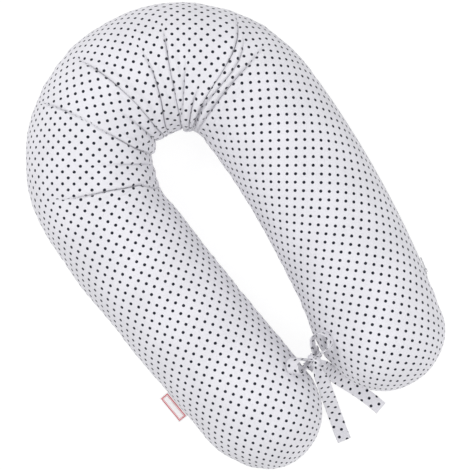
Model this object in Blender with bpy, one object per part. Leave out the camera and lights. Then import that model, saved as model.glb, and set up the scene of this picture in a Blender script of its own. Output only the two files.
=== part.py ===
"""Nursing pillow: a long stuffed cotton tube bent into a U, with its two ends tied in a bow.

Metres, +Z up. The pillow lies on z = 0. The origin is under the middle of its outline, its
arms run along Y, and the open end of the U faces -Y. The left arm is at -X.

The cover is two panels that meet in a seam all round the outline. Under it lies an inner
casing, also of two halves, and in that the filling. A zip in the outer seam of the right arm
lets the cover come off. Each skin is the same surface, set in by a little more than the last.
"""

import math

import bmesh
import bpy
from mathutils import Matrix, Vector

# The middle line: straight left arm, slight easing, tight bend, long easing, straight end.
LEFT_ARM_STRAIGHT = 0.326
LEFT_ARM_EASING = 0.165
LEFT_ARM_EASING_TURN = 6.8
BEND_RADIUS = 0.144
BEND_TURN = 176.0
RIGHT_ARM_EASING = 0.397
RIGHT_ARM_EASING_TURN = 15.9
RIGHT_ARM_STRAIGHT = 0.100
LEFT_ARM_LEAN = 7.5

# The tube's section
HALF_WIDTH = 0.098
LEFT_ARM_HALF_WIDTH = 0.094
SEAM_HEIGHT = 0.086
CROWN_RISE = 0.092
BELLY_DROP = 0.092
LEFT_TIP_TAPER = {"outer": 0.122, "inner": 0.095}
RIGHT_TIP_TAPER = {"outer": 0.085, "inner": 0.125}
TIP_TAPER_HEIGHT = 0.090
TIP_ROUNDNESS = 2.0

# Layers, from the outside in
COVER_THICKNESS = 0.0008
CASING_THICKNESS = 0.0008
LAYER_GAP = 0.0004
CLEARANCE = 0.0003
SEAM_GAP = 0.0003

# How finely the skins are cut into faces
CELLS_ACROSS = 8
CELL_LENGTH = 0.037
BEND_STEP = 11.0
TIP_STEPS = 5

# The zip, in the outer seam of the right arm, just under the seam line
ZIP_START = 0.025
ZIP_LENGTH = 0.330
ZIP_OPENING = 0.024
TAPE_THICKNESS = 0.0006
TAPE_LIFT = 0.0002
TEETH_WIDTH = 0.0022
TEETH_THICKNESS = 0.0016
TEETH_SLIT = 0.0012
STOP_LENGTH = 0.003
SLIDER_LENGTH = 0.011
SLIDER_WIDTH = 0.008
SLIDER_BLADE = 0.0010
SLIDER_INNER_BLADE = 0.0007
SLIDER_POST = 0.0006
BRIDGE_LENGTH = 0.006
BRIDGE_WIDTH = 0.0012
BRIDGE_RISE = 0.0028
BRIDGE_BAR = 0.0008
BRIDGE_FOOT = 0.0010
TAB_LENGTH = 0.022
TAB_WIDTH = 0.007
TAB_THICKNESS = 0.0010
TAB_EYE_LENGTH = 0.0041
TAB_EYE_WIDTH = 0.0022

# The folded label in the outer seam of the left arm
LABEL_PLACE = 0.185
LABEL_LENGTH = 0.048
LABEL_WIDTH = 0.016
LABEL_THICKNESS = 0.0013

# The two ties and their bow
TIE_WIDTH = 0.022
TIE_THICKNESS = 0.0012
KNOT_PLACE = 0.100
KNOT_HEIGHT = 0.1125
KNOT_SIZE = (0.020, 0.022, 0.018)

WHITE_COTTON = (0.86, 0.86, 0.89)
PLAIN_COTTON = (0.90, 0.90, 0.88)
FIBRE = (0.93, 0.93, 0.92)
TAPE_WHITE = (0.84, 0.84, 0.86)
LABEL_WHITE = (0.90, 0.89, 0.88)
ZIP_METAL = (0.62, 0.62, 0.64)


# ---------------------------------------------------------------- scene and materials


def clear_scene():
    for obj in list(bpy.data.objects):
        bpy.data.objects.remove(obj, do_unlink=True)


def new_collection(name):
    found = bpy.data.collections.new(name)
    bpy.context.scene.collection.children.link(found)
    return found


def material(name, colour, roughness=0.9, metallic=0.0):
    made = bpy.data.materials.new(name)
    made.use_nodes = True
    shader = made.node_tree.nodes["Principled BSDF"]
    shader.inputs["Base Color"].default_value = (*colour, 1.0)
    shader.inputs["Roughness"].default_value = roughness
    shader.inputs["Metallic"].default_value = metallic
    return made


def object_from(bm, name, look, smooth=True):
    """Turns a bmesh into a named object of the pillow."""
    bmesh.ops.recalc_face_normals(bm, faces=bm.faces)
    mesh = bpy.data.meshes.new(name)
    bm.to_mesh(mesh)
    bm.free()
    mesh.materials.append(look)
    if smooth:
        mesh.shade_smooth()
        mesh.set_sharp_from_angle(angle=math.radians(50))
    made = bpy.data.objects.new(name, mesh)
    PILLOW.objects.link(made)
    return made


# ---------------------------------------------------------------- the middle line


class MiddleLine:
    """A chain of straight runs and arcs. Headings are radians clockwise from +Y."""

    def __init__(self, runs, lean):
        self.runs = []
        place, heading, start = Vector((0, 0)), -math.radians(lean), 0.0
        for length, turn in runs:
            run = (start, length, place.copy(), heading, math.radians(turn))
            self.runs.append(run)
            place, heading = self.along(run, length)
            start += length
        self.length = start
        self.shift = Vector((0, 0))

    @staticmethod
    def along(run, distance):
        _, length, place, heading, turn = run
        if turn == 0:
            return place + distance * Vector((math.sin(heading), math.cos(heading))), heading
        radius = length / turn
        ahead = heading + distance / radius
        step = Vector((math.cos(heading) - math.cos(ahead), math.sin(ahead) - math.sin(heading)))
        return place + radius * step, ahead

    def at(self, s):
        """The point s metres from the left arm's tip, and the heading there."""
        run = [r for r in self.runs if r[0] <= s + 1e-9][-1]
        place, heading = self.along(run, s - run[0])
        return place + self.shift, heading

    def centre_of(self, number):
        """The centre of the arc that run number follows."""
        start, length, place, heading, turn = self.runs[number]
        radius = length / turn
        right = Vector((math.cos(heading), -math.sin(heading)))
        return place + self.shift + radius * right


LINE = MiddleLine(
    (
        (LEFT_ARM_STRAIGHT, 0),
        (LEFT_ARM_EASING, LEFT_ARM_EASING_TURN),
        (BEND_RADIUS * math.radians(BEND_TURN), BEND_TURN),
        (RIGHT_ARM_EASING, RIGHT_ARM_EASING_TURN),
        (RIGHT_ARM_STRAIGHT, 0),
    ),
    LEFT_ARM_LEAN,
)
EASING_RUN = 3
ZIP_FROM = LINE.runs[EASING_RUN][0] + ZIP_START
ZIP_TO = ZIP_FROM + ZIP_LENGTH


# ---------------------------------------------------------------- the tube's surface


def taper(s, inset, reach):
    """The share of the full size at s, falling to 0 at the tip. reach is where it starts."""
    from_tip = min(s, LINE.length - s) - inset
    t = min(max(from_tip / (reach - inset), 0), 1)
    return (1 - (1 - t) ** TIP_ROUNDNESS) ** (1 / TIP_ROUNDNESS)


def half_widths(s, inset):
    """The distance from the middle line to the outer and to the inner seam."""
    tip = LEFT_TIP_TAPER if s < LINE.length / 2 else RIGHT_TIP_TAPER
    easing_start, easing_length = LINE.runs[1][:2]
    t = min(max((s - easing_start) / easing_length, 0), 1)
    full = LEFT_ARM_HALF_WIDTH + (HALF_WIDTH - LEFT_ARM_HALF_WIDTH) * t - inset
    return full * taper(s, inset, tip["outer"]), full * taper(s, inset, tip["inner"])


def outward(heading):
    """The level direction from the middle line towards the outer seam."""
    return Vector((-math.cos(heading), math.sin(heading), 0))


def surface(s, angle, inset=0.0, lift=0.0):
    """A point of the skin. angle is 0 at the outer seam, 90 on top and 180 at the inner seam,
    and negative underneath. lift moves it out along the section's normal."""
    place, heading = LINE.at(s)
    outer, inner = half_widths(s, inset)
    rise = CROWN_RISE if angle >= 0 else BELLY_DROP
    rise = (rise - inset) * taper(s, inset, TIP_TAPER_HEIGHT)
    a = math.radians(angle)
    width = outer if math.cos(a) > 0 else inner
    side, up = width * math.cos(a), rise * math.sin(a)
    if lift:
        normal = Vector((math.cos(a) / width, math.sin(a) / rise)).normalized()
        side, up = side + lift * normal.x, up + lift * normal.y
    z = max(SEAM_HEIGHT + up, inset)
    return Vector((*place, z)) + side * outward(heading)


def centre_on_origin():
    """Moves the middle line so that the outline's box is centred on the origin."""
    steps = 1500
    edge = []
    for k in range(steps + 1):
        s = LINE.length * k / steps
        proud = TAPE_LIFT + TEETH_THICKNESS if ZIP_FROM <= s <= ZIP_TO else 0.0
        edge.append(surface(s, 0) + proud * outward(LINE.at(s)[1]))
        edge.append(surface(s, 180))
    for axis in (0, 1):
        values = [p[axis] for p in edge]
        LINE.shift[axis] -= (min(values) + max(values)) / 2


def longest_taper():
    return max(*LEFT_TIP_TAPER.values(), *RIGHT_TIP_TAPER.values(), TIP_TAPER_HEIGHT)


def stations():
    """Distances along the middle line where the skins have a ring of corners."""
    tip = longest_taper()
    ends = [tip * (1 - math.cos(math.radians(90 * k / TIP_STEPS))) for k in range(TIP_STEPS)]
    bend_start = LINE.runs[2][0]
    bend_end = LINE.runs[EASING_RUN][0]
    marks = [tip, bend_start, bend_end, ZIP_FROM, ZIP_TO, LINE.length - tip]
    found = ends[:]
    for low, high in zip(marks, marks[1:]):
        cells = max(1, round((high - low) / CELL_LENGTH))
        if low == bend_start:
            cells = round(BEND_TURN / BEND_STEP)
        found += [low + (high - low) * k / cells for k in range(cells)]
    found.append(LINE.length - tip)
    found += [LINE.length - s for s in reversed(ends)]
    return found


def seam_angles():
    """The section angles of the corners, from the outer seam to the inner one. The first cell
    is as deep as the zip's opening."""
    first = math.degrees(math.asin(ZIP_OPENING / BELLY_DROP))
    rest = (180 - first) / (CELLS_ACROSS - 1)
    return [0] + [first + rest * k for k in range(CELLS_ACROSS)]


def skin_points(inset, side, gap):
    """Corners of one half skin: side is 1 for the upper half and -1 for the lower one."""
    rings = []
    places = stations()
    for k, s in enumerate(places):
        tip = k in (0, len(places) - 1)
        s = min(max(s, inset), LINE.length - inset)
        if not tip:
            reach = longest_taper()
            from_tip = min(s, LINE.length - s)
            if from_tip < reach:
                pushed = inset + from_tip * (reach - inset) / reach
                s = pushed if s < LINE.length / 2 else LINE.length - pushed
        ring = []
        for angle in seam_angles():
            point = surface(s, side * angle, inset)
            if side > 0:
                point.z = max(point.z, SEAM_HEIGHT) + gap / 2
            else:
                point.z = max(min(point.z, SEAM_HEIGHT) - gap / 2, inset)
            ring.append(point)
        rings.append([ring[0]] * len(ring) if tip else ring)
    return rings


def add_skin(bm, rings, left_out=()):
    """Adds one open skin, as triangles, and returns its corners and the triangles made."""
    last = len(rings) - 1
    corners = []
    for k, ring in enumerate(rings):
        made = [bm.verts.new(ring[0])] * len(ring) if k in (0, last) else None
        corners.append(made or [bm.verts.new(p) for p in ring])
    triangles = []
    for i in range(last):
        for j in range(len(rings[0]) - 1):
            if (i, j) in left_out:
                continue
            a, b = corners[i][j], corners[i + 1][j]
            c, d = corners[i + 1][j + 1], corners[i][j + 1]
            triangles += [t for t in ((a, b, c), (a, c, d)) if len(set(t)) == 3]
    return corners, triangles


def half_shell(name, look, outer_inset, thickness, side, left_out=()):
    """A closed shell of even thickness over one half of the tube."""
    bm = bmesh.new()
    outer, faces = add_skin(bm, skin_points(outer_inset, side, SEAM_GAP), left_out)
    inner, _ = add_skin(bm, skin_points(outer_inset + thickness, side, SEAM_GAP), left_out)
    under = {}
    for ring, ring_under in zip(outer, inner):
        under.update(zip(ring, ring_under))
    edges = set()
    for a, b, c in faces:
        bm.faces.new((a, b, c))
        bm.faces.new((under[a], under[c], under[b]))
        edges |= {(a, b), (b, c), (c, a)}
    for a, b in edges:
        if (b, a) not in edges:
            bm.faces.new((b, a, under[a]))
            bm.faces.new((b, under[a], under[b]))
    for vert in [v for v in bm.verts if not v.link_faces]:
        bm.verts.remove(vert)
    return object_from(bm, name, look)


def solid_tube(name, look, inset):
    """The closed solid inside the last skin."""
    bm = bmesh.new()
    for side in (1, -1):
        _, faces = add_skin(bm, skin_points(inset, side, 0.0))
        for face in faces:
            bm.faces.new(face)
    bmesh.ops.remove_doubles(bm, verts=bm.verts, dist=1e-5)
    return object_from(bm, name, look)


def zip_cells():
    """The cells of the lower panel that the zip takes the place of."""
    places = stations()
    return {(k, 0) for k in range(len(places) - 1) if ZIP_FROM - 1e-6 < places[k] < ZIP_TO - 1e-6}


# ---------------------------------------------------------------- the zip


def zip_point(s, depth, lift):
    """A point of the zip, depth metres below the seam line and lift metres off the cover."""
    return surface(s, -math.degrees(math.asin(depth / BELLY_DROP)), 0.0, lift)


def zip_strip(name, look, depths, lifts, span):
    """A thin strip that follows the arm: two depths, two lifts, and where it starts and ends."""
    low, high = span
    places = [low] + [s for s in stations() if low + 0.002 < s < high - 0.002] + [high]
    order = ((0, 0), (1, 0), (1, 1), (0, 1))
    bm = bmesh.new()
    rings = [[bm.verts.new(zip_point(s, depths[i], lifts[j])) for i, j in order] for s in places]
    for one, other in zip(rings, rings[1:]):
        for k in range(4):
            bm.faces.new((one[k], one[(k + 1) % 4], other[(k + 1) % 4], other[k]))
    bm.faces.new(rings[0])
    bm.faces.new(rings[-1])
    bmesh.ops.triangulate(bm, faces=bm.faces)
    return object_from(bm, name, look, smooth=False)


def zip_frame(s, lift):
    """Where a zip piece sits: x along the travel, y down the arm's side, z out of it."""
    middle = ZIP_OPENING / 2
    here = zip_point(s, middle, lift)
    out = (zip_point(s, middle, lift + 0.01) - here).normalized()
    heading = LINE.at(s)[1]
    ahead = Vector((math.sin(heading), math.cos(heading), 0))
    down = out.cross(ahead).normalized()
    axes = Matrix((ahead, down, out)).transposed().to_4x4()
    return Matrix.Translation(here) @ axes


def add_box(bm, low, high):
    """Adds a box between two corners, made from a unit cube."""
    low, high = Vector(low), Vector(high)
    size = Matrix.Diagonal((*(high - low), 1))
    bmesh.ops.create_cube(bm, size=1.0, matrix=Matrix.Translation((low + high) / 2) @ size)


def box_object(name, look, low, high, frame):
    bm = bmesh.new()
    add_box(bm, low, high)
    made = object_from(bm, name, look, smooth=False)
    made.matrix_world = frame
    return made


def helper_box(name, low, high, frame):
    """A box that only serves a Boolean."""
    bm = bmesh.new()
    add_box(bm, low, high)
    mesh = bpy.data.meshes.new(name)
    bm.to_mesh(mesh)
    bm.free()
    made = bpy.data.objects.new(name, mesh)
    HELPERS.objects.link(made)
    made.matrix_world = frame
    made.hide_render = True
    made.display_type = "WIRE"
    return made


def join(target, helper):
    modifier = target.modifiers.new("join " + helper.name, "BOOLEAN")
    modifier.operation = "UNION"
    modifier.object = helper


def zip_tapes(look):
    """The woven tapes, each from the cloth's edge to its row of teeth."""
    span = (ZIP_FROM + CLEARANCE, ZIP_TO - CLEARANCE)
    lifts = (TAPE_LIFT, TAPE_LIFT + TAPE_THICKNESS)
    middle = ZIP_OPENING / 2
    reach = TEETH_SLIT / 2 + TEETH_WIDTH + CLEARANCE
    edge = SEAM_GAP + CLEARANCE
    zip_strip("zip_tape_upper", look, (edge, middle - reach), lifts, span)
    zip_strip("zip_tape_lower", look, (middle + reach, ZIP_OPENING - edge), lifts, span)


def zip_teeth(look):
    """Both rows of teeth, closed, as the strips that their coils fill."""
    low = ZIP_FROM + STOP_LENGTH + 2 * CLEARANCE
    high = ZIP_TO - STOP_LENGTH - 2 * CLEARANCE
    lifts = (TAPE_LIFT, TAPE_LIFT + TEETH_THICKNESS)
    middle, slit = ZIP_OPENING / 2, TEETH_SLIT / 2
    zip_strip("zip_teeth_upper", look, (middle - slit - TEETH_WIDTH, middle - slit), lifts, (low, high))
    zip_strip("zip_teeth_lower", look, (middle + slit, middle + slit + TEETH_WIDTH), lifts, (low, high))


def zip_stops(look):
    """The stops that hold the slider on the rows of teeth."""
    half = TEETH_SLIT / 2 + TEETH_WIDTH
    for name, s in (
        ("zip_open_end_stop", ZIP_FROM + CLEARANCE + STOP_LENGTH / 2),
        ("zip_closed_end_stop", ZIP_TO - CLEARANCE - STOP_LENGTH / 2),
    ):
        low = (-STOP_LENGTH / 2, -half, 0)
        high = (STOP_LENGTH / 2, half, TEETH_THICKNESS)
        box_object(name, look, low, high, zip_frame(s, TAPE_LIFT))


def slider_rest():
    """Where the slider stands when the zip is closed."""
    return ZIP_TO - CLEARANCE - STOP_LENGTH - SLIDER_LENGTH / 2 - 0.002


def zip_slider(look):
    """Two blades round the teeth, the post between them, and the bridge that holds the tab."""
    frame = zip_frame(slider_rest(), TAPE_LIFT)
    long, wide = SLIDER_LENGTH / 2, SLIDER_WIDTH / 2
    blade_low = TEETH_THICKNESS + CLEARANCE
    blade_top = blade_low + SLIDER_BLADE
    slider = box_object(
        "zip_slider", look, (-long, -wide, blade_low), (long, wide, blade_top), frame
    )
    overlap = 0.0002
    inner_top = -CLEARANCE
    post = helper_box(
        "slider_post",
        (long - 0.004, -SLIDER_POST / 2, inner_top - overlap),
        (long - 0.001, SLIDER_POST / 2, blade_low + overlap),
        frame,
    )
    inner_wide = wide - 0.0008
    inner = helper_box(
        "slider_inner_blade",
        (-long + 0.001, -inner_wide, inner_top - SLIDER_INNER_BLADE),
        (long - 0.0006, inner_wide, inner_top),
        frame,
    )
    join(slider, post)
    join(slider, inner)
    half_bridge, half_bar = BRIDGE_LENGTH / 2, BRIDGE_WIDTH / 2
    for name, near in (("bridge_rear_foot", -half_bridge), ("bridge_front_foot", half_bridge - BRIDGE_FOOT)):
        low = (near, -half_bar, blade_top - overlap)
        high = (near + BRIDGE_FOOT, half_bar, blade_top + BRIDGE_RISE)
        join(slider, helper_box(name, low, high, frame))
    low = (-half_bridge + overlap, -half_bar, blade_top + BRIDGE_RISE - BRIDGE_BAR)
    high = (half_bridge - overlap, half_bar, blade_top + BRIDGE_RISE)
    join(slider, helper_box("bridge_bar", low, high, frame))
    return frame, blade_top


def rounded_outline(curve, points, closed=True):
    spline = curve.splines.new("POLY")
    spline.points.add(len(points) - 1)
    for target, (x, y) in zip(spline.points, points):
        target.co = (x, y, 0, 1)
    spline.use_cyclic_u = closed


def zip_pull_tab(look, frame, blade_top):
    """A flat tab whose eye goes round the bridge. It turns about the bar at its root."""
    pivot_height = blade_top + CLEARANCE + TAB_THICKNESS / 2 + 0.0002
    half_bar, half_wide = TAB_THICKNESS / 2, TAB_WIDTH / 2
    round_end = [math.radians(90 + 180 * k / 8) for k in range(9)]
    straight = TAB_LENGTH - half_wide
    outline = [(half_bar, -half_wide * 0.7), (half_bar, half_wide * 0.7)]
    outline += [(-straight + half_wide * math.cos(a), half_wide * math.sin(a)) for a in round_end]
    eye_half = TAB_EYE_WIDTH / 2
    eye = [
        (-half_bar - TAB_EYE_LENGTH, -eye_half),
        (-half_bar - TAB_EYE_LENGTH, eye_half),
        (-half_bar, eye_half),
        (-half_bar, -eye_half),
    ]
    curve = bpy.data.curves.new("zip_pull_tab", "CURVE")
    curve.dimensions = "2D"
    curve.fill_mode = "BOTH"
    curve.extrude = TAB_THICKNESS / 2
    rounded_outline(curve, outline)
    rounded_outline(curve, eye)
    curve.materials.append(look)
    tab = bpy.data.objects.new("zip_pull_tab", curve)
    PILLOW.objects.link(tab)
    tab.matrix_world = frame @ Matrix.Translation((0, 0, pivot_height))
    return tab


# ---------------------------------------------------------------- the label


def seam_label(look):
    """A woven label folded in two, its cut edges in the outer seam."""
    place, heading = LINE.at(LABEL_PLACE)
    out = outward(heading)
    ahead = Vector((math.sin(heading), math.cos(heading), 0))
    seam = surface(LABEL_PLACE, 0)
    seam.z = SEAM_HEIGHT
    half = LABEL_THICKNESS / 2
    fold = CLEARANCE + LABEL_WIDTH
    profile = ((CLEARANCE, half), (fold - half, half), (fold, 0), (fold - half, -half), (CLEARANCE, -half))
    steps = 6
    bm = bmesh.new()
    rings = []
    for k in range(steps + 1):
        here = seam + (k / steps - 0.5) * LABEL_LENGTH * ahead
        rings.append([bm.verts.new(here + x * out + Vector((0, 0, z))) for x, z in profile])
    for one, other in zip(rings, rings[1:]):
        for k in range(len(profile)):
            after = (k + 1) % len(profile)
            bm.faces.new((one[k], one[after], other[after], other[k]))
    bm.faces.new(rings[0])
    bm.faces.new(rings[-1])
    bmesh.ops.triangulate(bm, faces=bm.faces)
    object_from(bm, "seam_label", look, smooth=False)


# ---------------------------------------------------------------- the ties and the bow


def smooth_route(points, per_span=4):
    """Points read from a smooth curve through the given ones."""
    rows = [points[0], *points, points[-1]]
    found = []
    for k in range(1, len(rows) - 2):
        p0, p1, p2, p3 = rows[k - 1 : k + 3]
        for n in range(per_span):
            t = n / per_span
            found.append(
                0.5 * (2 * p1 + (p2 - p0) * t + (2 * p0 - 5 * p1 + 4 * p2 - p3) * t * t
                       + (3 * p1 - p0 - 3 * p2 + p3) * t ** 3)
            )
    return [*found, points[-1]]


def ribbon(name, look, route, across, widths):
    """A flat strip along a smooth curve. across gives the direction of its width. widths are
    its widths at even steps along it, as shares of the tie's width."""
    points = smooth_route([Vector(p) for p in route])
    last = len(points) - 1
    bm = bmesh.new()
    rings = []
    for k, here in enumerate(points):
        tangent = (points[min(k + 1, last)] - points[max(k - 1, 0)]).normalized()
        side = Vector(across)
        side = (side - side.dot(tangent) * tangent).normalized()
        flat = tangent.cross(side)
        step = min(k * (len(widths) - 1) // last, len(widths) - 2)
        t = k * (len(widths) - 1) / last - step
        share = widths[step] + (widths[step + 1] - widths[step]) * t
        w, h = side * TIE_WIDTH * share / 2, flat * TIE_THICKNESS / 2
        rings.append([bm.verts.new(here + p) for p in (w + h, w - h, -w - h, -w + h)])
    for one, other in zip(rings, rings[1:]):
        for k in range(4):
            bm.faces.new((one[k], one[(k + 1) % 4], other[(k + 1) % 4], other[k]))
    bm.faces.new(rings[0])
    bm.faces.new(rings[-1])
    bmesh.ops.triangulate(bm, faces=bm.faces)
    return object_from(bm, name, look)


def knot_centre():
    """Midway between the arms, above the place where they come closest."""
    left = surface(KNOT_PLACE, 180)
    right = surface(LINE.length - KNOT_PLACE, 180)
    return Vector(((left.x + right.x) / 2, (left.y + right.y) / 2, KNOT_HEIGHT))


def bow_knot(look, centre):
    """The knot, as the outer shape of its wraps."""
    bm = bmesh.new()
    bmesh.ops.create_uvsphere(bm, u_segments=16, v_segments=10, radius=0.5)
    made = object_from(bm, "bow_knot", look)
    made.matrix_world = Matrix.Translation(centre) @ Matrix.Diagonal((*KNOT_SIZE, 1))


def knot_edge(direction):
    """From the knot's centre to where a tie that leaves in this direction starts."""
    way = Vector(direction).normalized()
    reach = 1 / Vector([2 * w / size for w, size in zip(way, KNOT_SIZE)]).length
    return way * (reach + CLEARANCE + TIE_THICKNESS / 4)


# Routes from the knot's centre. The left loop lies on the shoulder of the left arm.
LEFT_LOOP_LEAVES = (-1.0, 0.10, 0.25)
LEFT_LOOP_RETURNS = (-0.45, 0.15, 0.90)
LEFT_LOOP = (
    (-0.0200, 0.0020, 0.0160),
    (-0.0300, 0.0030, 0.0330),
    (-0.0390, 0.0035, 0.0470),
    (-0.0420, 0.0040, 0.0560),
    (-0.0340, 0.0040, 0.0580),
    (-0.0230, 0.0035, 0.0450),
    (-0.0120, 0.0030, 0.0280),
)

# The right loop runs up to a ring that stands on the shoulder of the right arm.
RIGHT_LOOP_CENTRE = (0.0235, 0.0200, 0.0370)
RIGHT_LOOP_AXIS = (-0.45, -0.10, 0.89)
RIGHT_LOOP_RADIUS = 0.0135
RIGHT_LOOP_OPENING = 70
RIGHT_LOOP_SPREAD = 0.0022

# The tails run down between the arms' tips and lie on the surface that the pillow stands on.
LEFT_TAIL_LEAVES = (-0.25, -1.0, 0.15)
RIGHT_TAIL_LEAVES = (0.35, -0.80, -0.60)
LEFT_TAIL = (
    (-0.0040, -0.0240, -0.0060),
    (-0.0060, -0.0420, -0.0300),
    (-0.0100, -0.0620, -0.0600),
    (-0.0150, -0.0840, -0.0880),
    (-0.0200, -0.1060, -0.1060),
    (-0.0240, -0.1240, -0.1113),
    (-0.0265, -0.1390, -0.1116),
)
RIGHT_TAIL = (
    (0.0060, -0.0180, -0.0160),
    (0.0090, -0.0270, -0.0380),
    (0.0150, -0.0400, -0.0620),
    (0.0220, -0.0530, -0.0820),
    (0.0300, -0.0700, -0.0980),
    (0.0390, -0.0920, -0.1090),
    (0.0450, -0.1100, -0.1116),
    (0.0500, -0.1270, -0.1116),
)


def tie_leads(look, centre):
    """From each arm's seam up to the underside of the knot."""
    for name, s in (("tie_left_lead", KNOT_PLACE), ("tie_right_lead", LINE.length - KNOT_PLACE)):
        start = surface(s, 180, 0.0, 2 * CLEARANCE + TIE_THICKNESS)
        start.z += TIE_THICKNESS
        level = (start - centre).to_2d().normalized()
        along_seam = surface(s + TIE_WIDTH / 2, 180) - surface(s - TIE_WIDTH / 2, 180)
        top = centre + knot_edge((0.4 * level.x, 0.4 * level.y, -1))
        middle = (start + top) / 2
        ribbon(name, look, (start, middle, top), along_seam, (0.9, 0.35))


def tie_loops(look, centre):
    """The bow's two loops."""
    leaves, returns = knot_edge(LEFT_LOOP_LEAVES), knot_edge(LEFT_LOOP_RETURNS)
    route = [centre + Vector(p) for p in (leaves, *LEFT_LOOP, returns)]
    ribbon("tie_left_loop", look, route, (0, 1, 0), (0.5, 1.0, 1.0, 1.0, 0.5))
    axis = Vector(RIGHT_LOOP_AXIS).normalized()
    middle = centre + Vector(RIGHT_LOOP_CENTRE)
    to_knot = centre - middle
    to_knot = (to_knot - to_knot.dot(axis) * axis).normalized()
    aside = axis.cross(to_knot)
    ring = []
    steps = 10
    for k in range(steps + 1):
        turn = math.radians(RIGHT_LOOP_OPENING / 2 + (360 - RIGHT_LOOP_OPENING) * k / steps)
        ring.append(middle + RIGHT_LOOP_RADIUS * (math.cos(turn) * to_knot + math.sin(turn) * aside))
    start = centre + knot_edge(RIGHT_LOOP_CENTRE)
    route = [start + RIGHT_LOOP_SPREAD * aside, *ring, start - RIGHT_LOOP_SPREAD * aside]
    ribbon("tie_right_loop", look, route, axis, (0.4, 0.9, 0.9, 0.9, 0.4))


def tie_tails(look, centre):
    """The loose ends of the bow."""
    for name, leaves, route in (
        ("tie_left_tail", LEFT_TAIL_LEAVES, LEFT_TAIL),
        ("tie_right_tail", RIGHT_TAIL_LEAVES, RIGHT_TAIL),
    ):
        points = [centre + Vector(p) for p in (knot_edge(leaves), *route)]
        run = points[-1] - points[0]
        ribbon(name, look, points, (-run.y, run.x, 0), (0.45, 0.8, 1.0, 1.0))


# ---------------------------------------------------------------- the whole pillow


def build():
    centre_on_origin()
    cotton = material("printed_cotton", WHITE_COTTON)
    plain = material("casing_cotton", PLAIN_COTTON)
    fibre = material("fibre_filling", FIBRE, 1.0)
    tape = material("zip_tape", TAPE_WHITE, 0.85)
    teeth = material("zip_teeth", TAPE_WHITE, 0.5)
    metal = material("zip_metal", ZIP_METAL, 0.35, 1.0)
    woven = material("label_cloth", LABEL_WHITE, 0.8)

    casing_inset = COVER_THICKNESS + LAYER_GAP
    filling_inset = casing_inset + CASING_THICKNESS + LAYER_GAP
    half_shell("cover_top_panel", cotton, 0.0, COVER_THICKNESS, 1)
    half_shell("cover_bottom_panel", cotton, 0.0, COVER_THICKNESS, -1, zip_cells())
    half_shell("inner_casing_top", plain, casing_inset, CASING_THICKNESS, 1)
    half_shell("inner_casing_bottom", plain, casing_inset, CASING_THICKNESS, -1)
    solid_tube("filling", fibre, filling_inset)

    zip_tapes(tape)
    zip_teeth(teeth)
    zip_stops(metal)
    frame, blade_top = zip_slider(metal)
    zip_pull_tab(metal, frame, blade_top)

    seam_label(woven)

    centre = knot_centre()
    bow_knot(cotton, centre)
    tie_leads(cotton, centre)
    tie_loops(cotton, centre)
    tie_tails(cotton, centre)


clear_scene()
PILLOW = new_collection("nursing_pillow")
HELPERS = new_collection("helpers")
HELPERS.hide_render = True
build()
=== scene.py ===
"""Looks of the nursing pillow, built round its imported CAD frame. Metres, +Z up."""

import math

import bmesh
import bpy
import numpy as np
from mathutils import Matrix, Vector, noise


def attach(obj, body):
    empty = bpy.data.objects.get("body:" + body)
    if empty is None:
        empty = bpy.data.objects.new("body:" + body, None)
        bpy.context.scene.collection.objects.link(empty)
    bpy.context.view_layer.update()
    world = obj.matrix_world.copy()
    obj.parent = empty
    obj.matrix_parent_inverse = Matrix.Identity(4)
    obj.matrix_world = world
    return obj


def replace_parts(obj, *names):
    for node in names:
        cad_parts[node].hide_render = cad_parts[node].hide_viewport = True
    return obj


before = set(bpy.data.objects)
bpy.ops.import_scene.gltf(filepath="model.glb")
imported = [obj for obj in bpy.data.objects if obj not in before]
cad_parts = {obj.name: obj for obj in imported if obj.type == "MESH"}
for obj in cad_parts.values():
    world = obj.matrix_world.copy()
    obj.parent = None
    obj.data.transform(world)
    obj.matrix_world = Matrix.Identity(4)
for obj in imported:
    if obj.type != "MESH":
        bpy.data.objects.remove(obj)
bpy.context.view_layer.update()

# ---------------------------------------------------------------- sizes repeated from the CAD

LEFT_ARM_STRAIGHT = 0.326
LEFT_ARM_EASING = 0.165
BEND_RADIUS = 0.144
BEND_TURN = 176.0
# Each run of the middle line from the left tip: its length and its turn in degrees, clockwise.
ARM_RUNS = (
    (LEFT_ARM_STRAIGHT, 0.0),
    (LEFT_ARM_EASING, 6.8),
    (BEND_RADIUS * math.radians(BEND_TURN), BEND_TURN),
    (0.397, 15.9),
    (0.100, 0.0),
)
# The left arm leans this many degrees from +Y.
LEAN = 7.5
HALF_WIDTH = 0.098
LEFT_ARM_HALF_WIDTH = 0.094
SEAM_HEIGHT = 0.086
RISE = 0.092
LEFT_TAPER = (0.122, 0.095)
RIGHT_TAPER = (0.085, 0.125)
TAPER_HEIGHT = 0.090
BEND_START = LEFT_ARM_STRAIGHT + LEFT_ARM_EASING
BEND_END = BEND_START + ARM_RUNS[2][0]
ZIP_FROM = BEND_END + 0.025
ZIP_TO = ZIP_FROM + 0.330
ZIP_OPENING = 0.024
ZIP_ANGLE = math.degrees(math.asin(ZIP_OPENING / RISE))
LINE_SHIFT = (-0.0927, -0.3654)
KNOT = Vector((0.0056, -0.2473, 0.1125))
KNOT_SIZE = Vector((0.020, 0.022, 0.018))
TIE_WIDTH = 0.022
LABEL_PLACE = 0.185
LABEL_LENGTH = 0.048
LABEL_WIDTH = 0.016

# ---------------------------------------------------------------- sizes of the looks

CLOTH_THICKNESS = 0.0008
# The cover is flattened underneath: none of it lies lower than this.
LOWEST = 0.0006
# The casing and the filling lie this far inside the smooth skin, clear of the folds.
CASING_INSET = 0.0095
FILLING_INSET = 0.0125
FILLING_LOWEST = 0.014
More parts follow.
